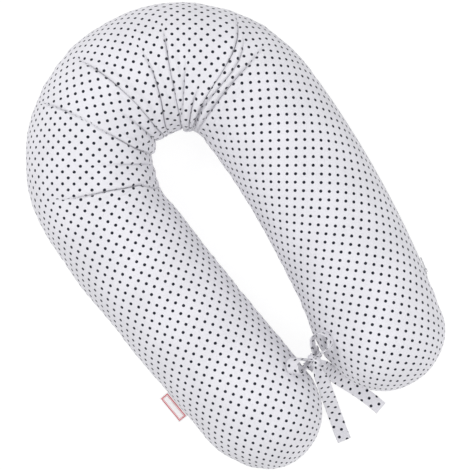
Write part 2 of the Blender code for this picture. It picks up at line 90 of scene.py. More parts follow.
# The skins have finer rows from here to the zip.
FINE_FROM = 0.455
TIP_ROWS = 26
UPPER_COLUMNS = 82
LOWER_COLUMNS = 64
ZIP_COLUMNS = 6
# Where the two ties leave the seams of the arms' ends.
LEFT_SEAM = Vector((-0.0112, -0.2541, 0.0862))
RIGHT_SEAM = Vector((0.0222, -0.2405, 0.0862))
# The two loops of the bow, seen from the knot. Each loop's width lies along its axis.
LEFT_LOOP_MIDDLE = Vector((-0.0272, 0.0082, 0.0400))
LEFT_LOOP_AXIS = (0.668, -0.418, 0.616)
RIGHT_LOOP_MIDDLE = Vector((0.0240, 0.0195, 0.0370))
RIGHT_LOOP_AXIS = (-0.42, 0.10, 0.90)
UP_Y = (0.0, 1.0, 0.0)
TIE_COLUMNS = 14
TIE_THICKNESS = 0.0011
TOOTH_PITCH = 0.0025
STITCH_PITCH = 0.0032
CAMERA_HEIGHT = 4.2
# The width that the picture spans at the height of the seam, and its turn in degrees.
PICTURE_WIDTH = 0.7285
PICTURE_TURN = 32.0

# ---------------------------------------------------------------- the cloth's print and folds

DOT_PITCH = 0.0128
DOT_RADIUS = 0.00242
CLOTH_DIRECTION = 58.5

# Folds of the bend, in order along the pillow. Each has the places its crease runs through, as
# (distance along the pillow, share of the half width from the middle line, depth in mm), with the
# outer side positive. Then the crease's width, and the angle of the wedge of cloth it swallows.
FOLDS = (
    (((0.528, 0.60, 0.0), (0.521, 0.30, 2.2), (0.513, -0.14, 4.5), (0.502, -0.50, 5.0), (0.473, -0.92, 3.0)),
     0.0017, 20.0),
    (((0.560, -0.10, 0.0), (0.556, -0.60, 2.2), (0.548, -0.97, 2.5)), 0.0018, 2.0),
    (((0.626, 0.97, 0.0), (0.631, 0.52, 3.8), (0.626, 0.10, 1.2), (0.618, -0.25, 2.6), (0.614, -0.60, 5.0),
      (0.594, -0.97, 4.0)), 0.0017, 29.0),
    (((0.662, -0.25, 0.0), (0.668, -0.65, 3.0), (0.662, -0.97, 3.0)), 0.0017, 3.0),
    (((0.682, 0.85, 0.0), (0.690, 0.40, 5.0), (0.698, -0.08, 7.5), (0.703, -0.50, 7.5), (0.706, -0.97, 6.0)),
     0.0018, 26.0),
    (((0.748, 0.40, 0.0), (0.753, 0.05, 2.5), (0.755, -0.30, 5.0), (0.748, -0.70, 5.5), (0.730, -0.97, 4.0)),
     0.0016, 6.0),
    (((0.779, 0.60, 0.0), (0.781, 0.35, 3.0), (0.783, 0.03, 7.0), (0.790, -0.47, 8.0), (0.803, -0.97, 6.0)),
     0.0018, 21.0),
    (((0.809, 0.10, 0.0), (0.807, -0.30, 2.6), (0.806, -0.75, 2.0)), 0.0015, 5.0),
    (((0.838, -0.30, 0.0), (0.832, -0.65, 3.0), (0.834, -0.97, 3.0)), 0.0016, 3.0),
    (((0.850, 0.97, 0.0), (0.866, 0.42, 6.0), (0.868, 0.10, 8.0), (0.865, -0.25, 8.0), (0.857, -0.60, 7.0),
      (0.851, -0.97, 5.0)), 0.0018, 19.0),
    (((0.862, 0.75, 0.0), (0.877, 0.30, 3.5), (0.874, -0.20, 4.5), (0.865, -0.60, 3.5), (0.860, -0.97, 2.0)),
     0.0015, 3.0),
    (((0.891, 0.80, 0.0), (0.891, 0.40, 2.4), (0.889, 0.10, 3.4), (0.884, -0.40, 3.2), (0.876, -0.97, 2.0)),
     0.0021, 13.0),
)
# The left arm's inner side is drawn in here, where the bend begins.
WAIST = 0.462
# A fold's wedge of cloth opens from this share of the half width, or from the crease's outer end.
WEDGE_FROM = 0.75

# Before and after these distances, the print is laid over the rounded tips.
LEFT_TIP_END = 0.25
RIGHT_TIP_START = 1.20

COTTON = (0.76, 0.75, 0.785)
NAVY = (0.012, 0.013, 0.022)


# ---------------------------------------------------------------- materials


class Look:
    """A material under construction: short names for its nodes and links."""

    def __init__(self, name):
        self.material = bpy.data.materials.new(name)
        self.material.use_nodes = True
        self.tree = self.material.node_tree
        self.shader = self.tree.nodes["Principled BSDF"]

    def node(self, kind, **settings):
        made = self.tree.nodes.new(kind)
        for key, value in settings.items():
            setattr(made, key, value)
        return made

    def link(self, source, target):
        self.tree.links.new(source, target)

    def maths(self, operation, first, second=None, third=None):
        made = self.node("ShaderNodeMath", operation=operation)
        for k, value in enumerate((first, second, third)):
            if value is None:
                continue
            if isinstance(value, (int, float)):
                made.inputs[k].default_value = value
            else:
                self.link(value, made.inputs[k])
        return made.outputs[0]

    def attribute(self, name):
        made = self.node("ShaderNodeAttribute", attribute_name=name)
        split = self.node("ShaderNodeSeparateXYZ")
        self.link(made.outputs["Vector"], split.inputs[0])
        return made.outputs["Vector"], split.outputs[0], split.outputs[1], split.outputs[2]

    def step(self, value, low, high, start=0.0, end=1.0):
        made = self.node("ShaderNodeMapRange", interpolation_type="SMOOTHSTEP")
        self.link(value, made.inputs[0])
        for k, number in enumerate((low, high, start, end)):
            made.inputs[k + 1].default_value = number
        return made.outputs[0]

    def noise(self, vector, scale, detail=2.0, roughness=0.5):
        made = self.node("ShaderNodeTexNoise")
        self.link(vector, made.inputs["Vector"])
        made.inputs["Scale"].default_value = scale
        made.inputs["Detail"].default_value = detail
        made.inputs["Roughness"].default_value = roughness
        return made.outputs["Fac"]

    def mix(self, share, first, second):
        made = self.node("ShaderNodeMix", data_type="RGBA")
        for socket, value in ((made.inputs[0], share), (made.inputs[6], first), (made.inputs[7], second)):
            if isinstance(value, (int, float)):
                socket.default_value = value
            elif isinstance(value, tuple):
                socket.default_value = (*value, 1.0)
            else:
                self.link(value, socket)
        return made.outputs[2]

    def bump(self, height, distance, strength=1.0, before=None):
        made = self.node("ShaderNodeBump")
        made.inputs["Strength"].default_value = strength
        made.inputs["Distance"].default_value = distance
        self.link(height, made.inputs["Height"])
        if before is not None:
            self.link(before, made.inputs["Normal"])
        return made.outputs[0]

    def finish(self, colour, normal=None, roughness=0.9, sheen=0.0, metallic=0.0, specular=0.3):
        if isinstance(colour, tuple):
            self.shader.inputs["Base Color"].default_value = (*colour, 1.0)
        else:
            self.link(colour, self.shader.inputs["Base Color"])
        if normal is not None:
            self.link(normal, self.shader.inputs["Normal"])
        if isinstance(roughness, (int, float)):
            self.shader.inputs["Roughness"].default_value = roughness
        else:
            self.link(roughness, self.shader.inputs["Roughness"])
        self.shader.inputs["Metallic"].default_value = metallic
        self.shader.inputs["Specular IOR Level"].default_value = specular
        self.shader.inputs["Sheen Weight"].default_value = sheen
        self.shader.inputs["Sheen Roughness"].default_value = 0.5
        return self.material


def weave(look, x, y, threads_per_metre):
    """Height of a plain weave from two cloth coordinates in metres."""
    turn = 2 * math.pi * threads_per_metre / 2
    one = look.maths("SINE", look.maths("MULTIPLY", x, turn))
    two = look.maths("SINE", look.maths("MULTIPLY", y, turn))
    return look.maths("MULTIPLY", one, two)


def dotted_cotton(name, colour, stitched=False):
    """White cotton with small dots on a square grid. Its print attribute holds two cloth
    coordinates in metres, and then the depth in a crease, which darkens the colour as painted shade, or, on
    a tie, the way from its middle."""
    look = Look(name)
    vector, x, y, edge = look.attribute("print")
    cells = []
    for value in (x, y):
        cell = look.maths("FRACT", look.maths("DIVIDE", value, DOT_PITCH))
        cells.append(look.maths("POWER", look.maths("SUBTRACT", cell, 0.5), 2.0))
    wobble = look.noise(vector, 900.0, 1.0)
    away = look.maths("SQRT", look.maths("ADD", *cells))
    away = look.maths("ADD", away, look.maths("MULTIPLY", look.maths("SUBTRACT", wobble, 0.5), 0.03))
    radius = DOT_RADIUS / DOT_PITCH
    dot = look.step(away, radius - 0.018, radius + 0.018, 1.0, 0.0)
    cloudy = look.noise(vector, 14.0, 3.0)
    fine = look.noise(vector, 420.0, 3.0)
    darker = tuple(0.955 * c for c in colour)
    base = look.mix(look.step(cloudy, 0.35, 0.65), colour, darker)
    base = look.mix(look.maths("MULTIPLY", look.step(fine, 0.45, 0.75), 0.10), base, (0.62, 0.62, 0.66))
    ink = look.mix(look.step(fine, 0.4, 0.8), NAVY, (0.035, 0.037, 0.055))
    painted = look.mix(dot, base, ink)
    # Painted shade: in the cover's creases the colour is darkened towards grey by the crease depth.
    if not stitched:
        painted = look.mix(look.maths("MULTIPLY", edge, 0.5), painted, (0.30, 0.30, 0.34))
    threads = weave(look, x, y, 1900.0)
    normal = look.bump(threads, 0.00006, 0.35)
    soft = look.noise(vector, 60.0, 4.0, 0.6)
    normal = look.bump(soft, 0.0012, 0.22, normal)
    if stitched:
        from_stitches = look.maths("ABSOLUTE", look.maths("SUBTRACT", edge, TIE_WIDTH * 0.41))
        line = look.step(from_stitches, 0.0, 0.0009, 1.0, 0.0)
        normal = look.bump(line, -0.0004, 0.6, normal)
    return look.finish(painted, normal, roughness=0.92, sheen=0.12, specular=0.2)


def plain_cotton(name, colour, grain=1500.0):
    """Undyed cotton or thread. Its grain is in lumps per metre."""
    look = Look(name)
    place = look.node("ShaderNodeTexCoord").outputs["Object"]
    cloudy = look.noise(place, 25.0, 3.0)
    fine = look.noise(place, grain, 2.0)
    base = look.mix(look.step(cloudy, 0.3, 0.7), colour, tuple(0.93 * c for c in colour))
    base = look.mix(look.maths("MULTIPLY", fine, 0.15), base, tuple(0.7 * c for c in colour))
    normal = look.bump(fine, 0.0002, 0.5)
    return look.finish(base, normal, roughness=0.95, sheen=0.1, specular=0.15)


def fibre_look():
    """Fluffy polyester fibre in clumps."""
    look = Look("fibre_look")
    place = look.node("ShaderNodeTexCoord").outputs["Object"]
    clumps = look.noise(place, 35.0, 6.0, 0.7)
    strands = look.noise(place, 600.0, 4.0, 0.7)
    base = look.mix(clumps, (0.95, 0.95, 0.94), (0.84, 0.84, 0.84))
    normal = look.bump(strands, 0.0015, 0.6, look.bump(clumps, 0.006, 0.8))
    return look.finish(base, normal, roughness=1.0, sheen=0.3, specular=0.1)


def tape_look(name, colour):
    """Woven zip tape: fine ribs and a herringbone tone."""
    look = Look(name)
    place = look.node("ShaderNodeTexCoord").outputs["Object"]
    split = look.node("ShaderNodeSeparateXYZ")
    look.link(place, split.inputs[0])
    along = look.maths("SINE", look.maths("MULTIPLY", split.outputs[1], 2 * math.pi * 1300))
    across = look.maths("SINE", look.maths("MULTIPLY", split.outputs[2], 2 * math.pi * 1300))
    ribs = look.maths("MULTIPLY", along, across)
    tone = look.noise(place, 120.0, 2.0)
    base = look.mix(look.step(tone, 0.3, 0.7), colour, tuple(0.9 * c for c in colour))
    base = look.mix(look.step(ribs, -1.0, 1.0, 0.0, 0.18), base, tuple(0.6 * c for c in colour))
    return look.finish(base, look.bump(ribs, 0.0001, 0.5), roughness=0.85, sheen=0.1)


def plastic_look(name, colour):
    """Slightly uneven nylon."""
    look = Look(name)
    place = look.node("ShaderNodeTexCoord").outputs["Object"]
    tone = look.noise(place, 300.0, 3.0)
    base = look.mix(tone, colour, tuple(0.88 * c for c in colour))
    rough = look.step(tone, 0.2, 0.8, 0.38, 0.55)
    return look.finish(base, look.bump(tone, 0.00008, 0.4), roughness=rough, specular=0.5)


def metal_look(name, colour):
    """Plated zinc: fine brushing, soft wear and small stains."""
    look = Look(name)
    place = look.node("ShaderNodeTexCoord").outputs["Object"]
    stretch = look.node("ShaderNodeMapping")
    stretch.inputs["Scale"].default_value = (1.0, 0.08, 1.0)
    look.link(place, stretch.inputs[0])
    brushed = look.noise(stretch.outputs[0], 2500.0, 3.0)
    worn = look.noise(place, 260.0, 3.0)
    base = look.mix(look.step(worn, 0.4, 0.7), colour, tuple(0.78 * c for c in colour))
    rough = look.step(worn, 0.3, 0.7, 0.24, 0.42)
    return look.finish(base, look.bump(brushed, 0.00003, 0.5), roughness=rough, metallic=1.0, specular=0.5)


def label_look():
    """A woven satin label: plain, with two thin red lines near its border."""
    look = Look("label_look")
    vector, x, y, _ = look.attribute("print")
    ribs = look.maths("SINE", look.maths("MULTIPLY", y, 2 * math.pi * 2200))
    fine = look.noise(vector, 1500.0, 2.0)
    from_end = look.maths("SUBTRACT", LABEL_LENGTH / 2, look.maths("ABSOLUTE", x))
    from_fold = look.maths("SUBTRACT", LABEL_WIDTH, y)
    border = look.maths("MINIMUM", from_end, look.maths("MINIMUM", from_fold, y))
    lines = []
    for inset, core, rim in ((0.0022, 0.0005, 0.0009), (0.0040, 0.0002, 0.0005)):
        away = look.maths("ABSOLUTE", look.maths("SUBTRACT", border, inset))
        lines.append(look.step(away, core, rim, 1.0, 0.0))
    lines = look.maths("MAXIMUM", lines[0], look.maths("MULTIPLY", lines[1], 0.8))
    cloth = look.mix(look.step(fine, 0.3, 0.8, 0.0, 0.5), (0.86, 0.85, 0.85), (0.74, 0.73, 0.74))
    base = look.mix(lines, cloth, (0.55, 0.03, 0.05))
    normal = look.bump(ribs, 0.00005, 0.4, look.bump(lines, 0.0002, 0.5))
    return look.finish(base, normal, roughness=0.6, sheen=0.2, specular=0.35)


# ---------------------------------------------------------------- the middle line and the section


def arm_runs():
    """Each run of the middle line: start distance, place, heading, length and turn."""
    place, heading, start, runs = Vector((0, 0)), -math.radians(LEAN), 0.0, []
    for length, turn in ARM_RUNS:
        run = (start, place.copy(), heading, length, math.radians(turn))
        runs.append(run)
        place, heading = along_run(run, length)
        start += length
    return runs, start


def along_run(run, distance):
    """The point and heading this far along a run."""
    _, place, heading, length, turn = run
    if turn == 0:
        return place + distance * Vector((math.sin(heading), math.cos(heading))), heading
    radius = length / turn
    ahead = heading + distance / radius
    step = Vector((math.cos(heading) - math.cos(ahead), math.sin(ahead) - math.sin(heading)))
    return place + radius * step, ahead


RUNS, LENGTH = arm_runs()


def line_at(s):
    """The middle line's point and its heading, clockwise from +Y, s metres from the left tip."""
    run = [r for r in RUNS if r[0] <= s + 1e-9][-1]
    place, heading = along_run(run, s - run[0])
    return place + Vector(LINE_SHIFT), heading


def turn_at(s):
    """The middle line's curvature at s, in radians per metre."""
    run = [r for r in RUNS if r[0] <= s + 1e-9][-1]
    return run[4] / run[3]


def taper(s, reach):
    """From 0 at both tips to 1 at reach metres from them, round like a quarter of an ellipse."""
    t = np.clip(np.minimum(s, LENGTH - s) / reach, 0, 1)
    return np.sqrt(1 - (1 - t) ** 2)


def section(s):
    """Outer and inner half width and height of the tube at the distances s."""
    left = s < LENGTH / 2
    t = np.clip((s - LEFT_ARM_STRAIGHT) / LEFT_ARM_EASING, 0, 1)
    full = LEFT_ARM_HALF_WIDTH + (HALF_WIDTH - LEFT_ARM_HALF_WIDTH) * t
    outer = full * np.where(left, taper(s, LEFT_TAPER[0]), taper(s, RIGHT_TAPER[0]))
    inner = full * np.where(left, taper(s, LEFT_TAPER[1]), taper(s, RIGHT_TAPER[1]))
    return outer, inner, RISE * taper(s, TAPER_HEIGHT)


def line_arrays(s):
    """The middle line's points, headings and curvatures at the distances s."""
    found = [line_at(float(x)) for x in s]
    centre = np.array([p[:] for p, _ in found])
    heading = np.array([h for _, h in found])
    return centre, heading, np.array([turn_at(float(x)) for x in s])


def skin(s, angles, inset=0.0):
    """Points and normals of the tube: one row for each distance, one column for each angle in
    degrees, 0 at the outer seam, 90 on top, 180 at the inner seam, negative underneath."""
    centre, heading, _ = line_arrays(s)
    outer, inner, rise = section(s)
    outer, inner, rise = (np.maximum(v - inset, 1e-5) for v in (outer, inner, rise))
    a = np.radians(angles)[None, :]
    width = np.where(np.cos(a) > 0, outer[:, None], inner[:, None])
    side, up = width * np.cos(a), rise[:, None] * np.sin(a)
    out = np.stack([-np.cos(heading), np.sin(heading)], 1)
    points = np.zeros((len(s), a.shape[1], 3))
    points[:, :, 0] = centre[:, 0, None] + side * out[:, 0, None]
    points[:, :, 1] = centre[:, 1, None] + side * out[:, 1, None]
    points[:, :, 2] = np.maximum(SEAM_HEIGHT + up, LOWEST + inset)
    across, above = np.cos(a) / width, np.sin(a) / rise[:, None]
    size = np.sqrt(across ** 2 + above ** 2)
    across, above = across / size, above / size
    normals = np.zeros_like(points)
    normals[:, :, 0] = across * out[:, 0, None]
    normals[:, :, 1] = across * out[:, 1, None]
    normals[:, :, 2] = above
    return points, normals


def tip_steps(reach, count):
    """Distances from a tip, close together where the skin turns most."""
    return [reach * (1 - math.cos(math.radians(90 * k / count))) for k in range(count)]


def distances(cell, bend_cell):
    """Where the skin has its rows: fine in the bend, and on the zip's two ends."""
    reach = max(*LEFT_TAPER, *RIGHT_TAPER)
    tip = tip_steps(reach, TIP_ROWS)
    marks = (reach, FINE_FROM, ZIP_FROM, ZIP_TO, LENGTH - reach)
    rows = list(tip)
    for k, (low, high) in enumerate(zip(marks, marks[1:])):
        size = bend_cell if k == 1 else cell
        count = max(1, round((high - low) / size))
        rows += [low + (high - low) * n / count for n in range(count)]
    rows.append(LENGTH - reach)
    rows += [LENGTH - x for x in reversed(tip)]
    return np.array(rows)


# ---------------------------------------------------------------- folds, seams and print


def smooth(value, low, high):
    """0 below low, 1 above high, and a soft step between."""
    t = np.clip((value - low) / (high - low), 0, 1)
    return t * t * (3 - 2 * t)


def curve_noise(values, wave, seed):
    """Smooth random values along a line, one for each of the given places."""
    found = [noise.noise(Vector((v / wave, seed * 7.31, 0.5))) for v in values.ravel()]
    return np.array(found).reshape(values.shape)


def space_noise(points, wave):
    """Smooth random values in space, one for each of the given points."""
    found = [noise.noise(Vector(p) / wave) for p in points.reshape(-1, 3)]
    return np.array(found).reshape(points.shape[:2])


def bend_share(s, outside, inside):
    """1 in the bend and 0 on the arms. At each end of the bend it rises from outside metres
    before it to inside metres within it."""
    rise = smooth(s, BEND_START - outside, BEND_START + inside)
    return rise * (1 - smooth(s, BEND_END - inside, BEND_END + outside))


def bell(distance, width):
    """1 at no distance, and near 0 from about twice the width on."""
    return np.exp(-((distance / width) ** 2))


def fold_line(fold, q):
    """Where the crease runs and how deep it is, at the shares q of the half width."""
    points = sorted((share, place, depth) for place, share, depth in fold[0])
    share = [p[0] for p in points]
    fit = np.polyfit(share, [p[1] for p in points], min(3, len(points) - 1))
    place = np.polyval(fit, np.clip(q, share[0], share[-1]))
    depth = np.interp(q, share, [0.001 * p[2] for p in points])
    return place, depth, share[-1]


def fold_shapes(s, q, stretch):
    """How far the folds push the cloth out, a narrow valley between two soft lips, how far the
    further lip laps back over the valley, and how deep in a crease each point lies, from 0 to 1, which
    paints shade into the creases."""
    total, lap, crease = np.zeros_like(q), np.zeros_like(q), np.zeros_like(q)
    for k, fold in enumerate(FOLDS):
        width = fold[1]
        place, depth, _ = fold_line(fold, q)
        gap = (s - place) * stretch + 0.0010 * curve_noise(q, 0.30, 3.0 + k)
        valley = np.exp(-(np.abs(gap / width) ** 1.6))
        near = bell(gap - 4.0 * width, 3.2 * width)
        far = bell(gap + 3.6 * width, 3.2 * width)
        depth = depth * (1 - 0.65 * smooth(-q, 0.85, 1.0))
        total += depth * (0.52 * near + 0.36 * far - 1.3 * valley)
        lap -= 0.6 * depth * bell(gap - 1.6 * width, 1.3 * width)
        crease = np.maximum(crease, valley * np.clip(depth / 0.005, 0, 1))
    return total, lap, crease


def gathers(s, q):
    """Small gathers that run out from the inner seam of the bend."""
    inside = bend_share(s, 0.05, 0.05)
    near = smooth(-q, 0.30, 0.85) * (1 - 0.65 * smooth(-q, 0.90, 1.0))
    bent = s + 0.008 * q * np.sin(s * 23.0)
    fine = curve_noise(bent, 0.020, 5) + 0.4 * curve_noise(bent, 0.011, 6)
    coarse = curve_noise(bent, 0.045, 7)
    return inside * (0.0042 * near * fine + 0.0048 * smooth(-q, -0.5, 0.8) * coarse)


def seam_marks(s, gap, seed, pucker):
    """A shallow groove along a seam, and small puckers that run out from it."""
    puckers = curve_noise(s, 0.0075, seed) + 0.6 * curve_noise(s, 0.017, seed + 1)
    groove = -0.0018 * bell(gap, 0.0028)
    return groove + pucker * puckers * bell(gap, 0.016) * (1 - bell(gap, 0.0022))


def cloth_line(s):
    """The cloth's middle line laid flat, before the folds take their wedges: its points and
    directions. It is straight along the arms and turns with the pillow in the bend."""
    fine = np.linspace(-0.15, LENGTH + 0.15, 3461)
    turned = BEND_TURN * np.clip((fine - BEND_START) / (BEND_END - BEND_START), 0, 1)
    direction = np.radians(CLOTH_DIRECTION - turned)
    step = fine[1] - fine[0]
    middle = (direction[1:] + direction[:-1]) / 2
    x = np.concatenate([[0], np.cumsum(step * np.cos(middle))])
    y = np.concatenate([[0], np.cumsum(step * np.sin(middle))])
    return np.interp(s, fine, x), np.interp(s, fine, y), np.interp(s, fine, direction)


def cloth_place(s, q, off, stretch, folds, slid=0.0, eased=0.0):
    """Cloth coordinates, as complex numbers, of points off metres to the outer side of the crown.
    Each fold turns the cloth beyond it by its wedge. slid metres is how far a lip has lapped, and
    eased metres how much cloth the small gathers let out."""
    x, y, direction = cloth_line(s + slid / stretch)
    place = x + 1j * y + (off * 1j + eased) * np.exp(1j * direction)
    for k, fold in enumerate(folds):
        crease, _, end = fold_line(fold, q)
        far = min(max(end, WEDGE_FROM), end + 0.4)
        hinge = hinge_place(k, far)
        blur = 0.0013 + 0.010 * smooth(q, end - 0.15, end + 0.15)
        blur += 0.020 * smooth(q, far - 0.15, far + 0.1)
        gap = (s - crease) * stretch
        beyond = smooth(gap, -blur, blur)
        place = hinge + (place - hinge) * np.exp(1j * math.radians(fold[2]) * beyond)
    return place


def hinge_place(k, share):
    """Where fold k's wedge of cloth opens."""
    q = np.array([share])
    s, _, _ = fold_line(FOLDS[k], q)
    off = np.arcsin(q) * (HALF_WIDTH + RISE) / 2
    return cloth_place(s, q, off, np.array([1 + share * HALF_WIDTH / BEND_RADIUS]), FOLDS[:k])[0]


def surface_run(s, angles):
    """The distance along the cloth at each point: as s along the arms, and more over the tips."""
    outer, inner, rise = section(s)
    a = np.radians(np.abs(angles))[None, :]
    side = np.where(np.cos(a) > 0, outer[:, None], inner[:, None]) * np.cos(a)
    height = rise[:, None] * np.sin(a)
    step = np.sqrt(np.diff(s)[:, None] ** 2 + np.diff(side, axis=0) ** 2 + np.diff(height, axis=0) ** 2)
    run = np.concatenate([np.zeros_like(a), np.cumsum(step, 0)])
    left, right = np.searchsorted(s, LEFT_TIP_END), np.searchsorted(s, RIGHT_TIP_START)
    found = np.repeat(s[:, None], a.shape[1], 1)
    found[:left] = s[left] - (run[left] - run[:left])
    found[right:] = s[right] + (run[right:] - run[right])
    return found


def gather_ease(s, q, off, stretch):
    """How much further the cloth reaches, to either side of the middle between two folds, than
    it would if it only turned with the pillow: the small gathers near the inner seam let it out."""
    share = np.array([-0.95])
    creases = [BEND_START - 0.02] + [float(fold_line(fold, share)[0][0]) for fold in FOLDS] + [BEND_END]
    middles = [(a + b) / 2 for a, b in zip(creases, creases[1:])]
    middle = np.full_like(q, middles[0])
    for k, fold in enumerate(FOLDS):
        gap = (s - fold_line(fold, q)[0]) * stretch
        middle += (middles[k + 1] - middles[k]) * smooth(gap, -0.0013, 0.0013)
    short = np.maximum(-off - HALF_WIDTH * np.abs(q), 0) * (q < 0) / BEND_RADIUS
    return short * bend_share(s, 0.02, 0.01) * (s - middle)


def skin_grid(s, angles):
    """For each point of the skin: its distance, its angle in radians without its sign, its share
    of the half width, and how much longer the skin runs there than the middle line."""
    a = np.radians(np.abs(angles))[None, :]
    q = np.repeat(np.cos(a), len(s), 0)
    rows = np.repeat(s[:, None], len(angles), 1)
    stretch = np.maximum(1 + line_arrays(s)[2][:, None] * HALF_WIDTH * q, 0.2)
    return rows, a, q, stretch


def print_map(s, angles, side):
    """Cloth coordinates in metres for each point of the skin."""
    rows, a, q, stretch = skin_grid(s, angles)
    outer, inner, rise = section(s)
    radius = np.sqrt((((outer + inner) / 2) ** 2 + rise ** 2) / 2)
    off = (math.pi / 2 - a) * radius[:, None]
    lap = fold_shapes(rows, q, stretch)[1]
    eased = gather_ease(rows, q, off, stretch)
    place = cloth_place(surface_run(s, angles), q, off, stretch, FOLDS, lap, eased)
    found = np.zeros((len(s), len(angles), 3))
    found[:, :, 0] = place.real + 0.0047 * side
    found[:, :, 1] = place.imag + 0.0031 * side
    return found


def shaped_skin(s, angles):
    """The cover's points with its folds, gathers, seams and slight unevenness. Both panels take
    the same marks at their shared seams, and the lower one has them weaker in between."""
    points, normals = skin(s, angles)
    rows, a, q, stretch = skin_grid(s, angles)
    outer, inner, _ = section(s)
    radius = (outer + inner)[:, None] / 2
    push, lap, crease = fold_shapes(rows, q, stretch)
    push += gathers(rows, q)
    weaker = np.where(angles[None, :] < 0, 0.5 + 0.5 * np.abs(q) ** 6, 1.0)
    push *= weaker
    _, heading, _ = line_arrays(s)
    ahead = np.stack([np.sin(heading), np.cos(heading), np.zeros_like(s)], 1)
    push += 0.0018 * space_noise(points, 0.075) + 0.0006 * space_noise(points, 0.028)
    push -= 0.0065 * bell(rows - WAIST, 0.032) * smooth(-q, 0.25, 1.0)
    in_bend = bend_share(rows, 0.03, 0.05)
    outer_seam = seam_marks(rows, radius * a, 11, 0.0013)
    inner_seam = seam_marks(rows, radius * (math.pi - a), 17, 0.0012 * (1 - 0.75 * in_bend))
    zip_zone = (rows > ZIP_FROM - 0.004) & (rows < ZIP_TO + 0.004)
    push += np.where(zip_zone, 0.0, outer_seam) + inner_seam
    # the cloth lies smooth beside the zip
    half_zip = (ZIP_TO - ZIP_FROM) / 2
    calm = smooth(np.abs(rows - ZIP_FROM - half_zip), half_zip, half_zip + 0.02)
    push *= 1 - (1 - calm) * (1 - smooth(radius * a, 0.030, 0.055))
    push *= np.clip(radius / 0.03, 0, 1)
    points = points + normals * push[:, :, None] + ahead[:, None, :] * (lap * weaker)[:, :, None]
    points[:, :, 2] = np.maximum(points[:, :, 2], LOWEST)
    return points, crease


# ---------------------------------------------------------------- meshes


def grid_mesh(name, points, attribute=None, left_out=None, closed=False):
    """A mesh from rows and columns of points, with its print attribute."""
    rows, columns = points.shape[:2]
    mesh = bpy.data.meshes.new(name)
    faces = []
    for i in range(rows - 1):
        for j in range(columns - (0 if closed else 1)):
            if left_out is not None and left_out(i, j):
                continue
            after = (j + 1) % columns
            here, beyond = i * columns, (i + 1) * columns
            faces.append((here + j, beyond + j, beyond + after, here + after))
    mesh.from_pydata([tuple(p) for p in points.reshape(-1, 3)], [], faces)
    if attribute is not None:
        layer = mesh.attributes.new("print", "FLOAT_VECTOR", "POINT")
        layer.data.foreach_set("vector", attribute.reshape(-1).astype(np.float32))
    return mesh


def store_smooth(bm, mesh):
    """Writes the edited faces back to the mesh, smooth shaded."""
    for face in bm.faces:
        face.smooth = True
    bm.to_mesh(mesh)
    bm.free()


def tidy_mesh(mesh, merge=2e-5):
    """Joins points that meet, drops loose ones and makes the faces look one way."""
    bm = bmesh.new()
    bm.from_mesh(mesh)
    bmesh.ops.remove_doubles(bm, verts=bm.verts, dist=merge)
    bmesh.ops.delete(bm, geom=[v for v in bm.verts if not v.link_faces], context="VERTS")
    bmesh.ops.recalc_face_normals(bm, faces=bm.faces)
    store_smooth(bm, mesh)


def add_piece(name, mesh, look, body="pillow"):
    """An object with one material, riding on a body."""
    made = bpy.data.objects.new(name, mesh)
    bpy.context.scene.collection.objects.link(made)
    made.data.materials.clear()
    made.data.materials.append(look)
    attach(made, body)
    return made


def cloth_piece(name, mesh, look, thickness, offset):
    """A piece of cloth: a sheet and its thickness."""
    piece = add_piece(name, mesh, look)
    cloth = piece.modifiers.new("cloth", "SOLIDIFY")
    cloth.thickness = thickness
    cloth.offset = offset
    return piece


def half_shell(name, mesh, side, look):
    """Cloth made from an open half skin, thickened inwards. The middle face tells whether the
    skin's normals look into the pillow."""
    tidy_mesh(mesh)
    middle = mesh.polygons[len(mesh.polygons) // 2]
    if middle.normal.z * side < 0:
        mesh.flip_normals()
    return cloth_piece(name, mesh, look, CLOTH_THICKNESS, -1.0)


def cover_panel(name, side, look):
    """One half of the cover. The lower one is left open where the zip lies."""
    if side > 0:
        s = distances(0.0048, 0.0013)
        angles = np.linspace(0, 180, UPPER_COLUMNS + 1)
    else:
        s = distances(0.0048, 0.0026)
        beside_zip = np.linspace(0, ZIP_ANGLE, ZIP_COLUMNS + 1)[:-1]
        angles = -np.concatenate([beside_zip, np.linspace(ZIP_ANGLE, 180, LOWER_COLUMNS - ZIP_COLUMNS + 1)])
    points, crease = shaped_skin(s, angles)
    prints = print_map(s, angles, side)
    # The crease depth darkens the cotton's colour in the folds as painted shade.
    prints[:, :, 2] = crease
    points[0], points[-1] = points[0, 0], points[-1, 0]

    def open_zip(i, j):
        return side < 0 and j < ZIP_COLUMNS and ZIP_FROM - 1e-6 < s[i] < ZIP_TO - 1e-6

    mesh = grid_mesh(name, points, prints, open_zip)
    return half_shell(name, mesh, side, look)


def casing_half(name, side, look):
    """One half of the plain casing inside the cover."""
    s = distances(0.014, 0.010)
    angles = np.linspace(0, 180 * side, 29)
    points, _ = skin(s, angles, CASING_INSET)
    points[0], points[-1] = points[0, 0], points[-1, 0]
    return half_shell(name, grid_mesh(name, points), side, look)


def filling_piece(look):
    """The filling: one lumpy closed body."""
    s = distances(0.016, 0.012)
    angles = np.linspace(0, 360, 49)[:-1]
    angles = np.where(angles > 180, angles - 360, angles)
    points, normals = skin(s, angles, FILLING_INSET)
    points = points - normals * (0.0012 + 0.0012 * space_noise(points, 0.022))[:, :, None]
    points[:, :, 2] = np.maximum(points[:, :, 2], FILLING_LOWEST)
    points[0], points[-1] = points[0].mean(0), points[-1].mean(0)
    mesh = grid_mesh("fibre_filling", points, closed=True)
    tidy_mesh(mesh)
    return add_piece("fibre_filling", mesh, look)


# ---------------------------------------------------------------- the ties and the knot


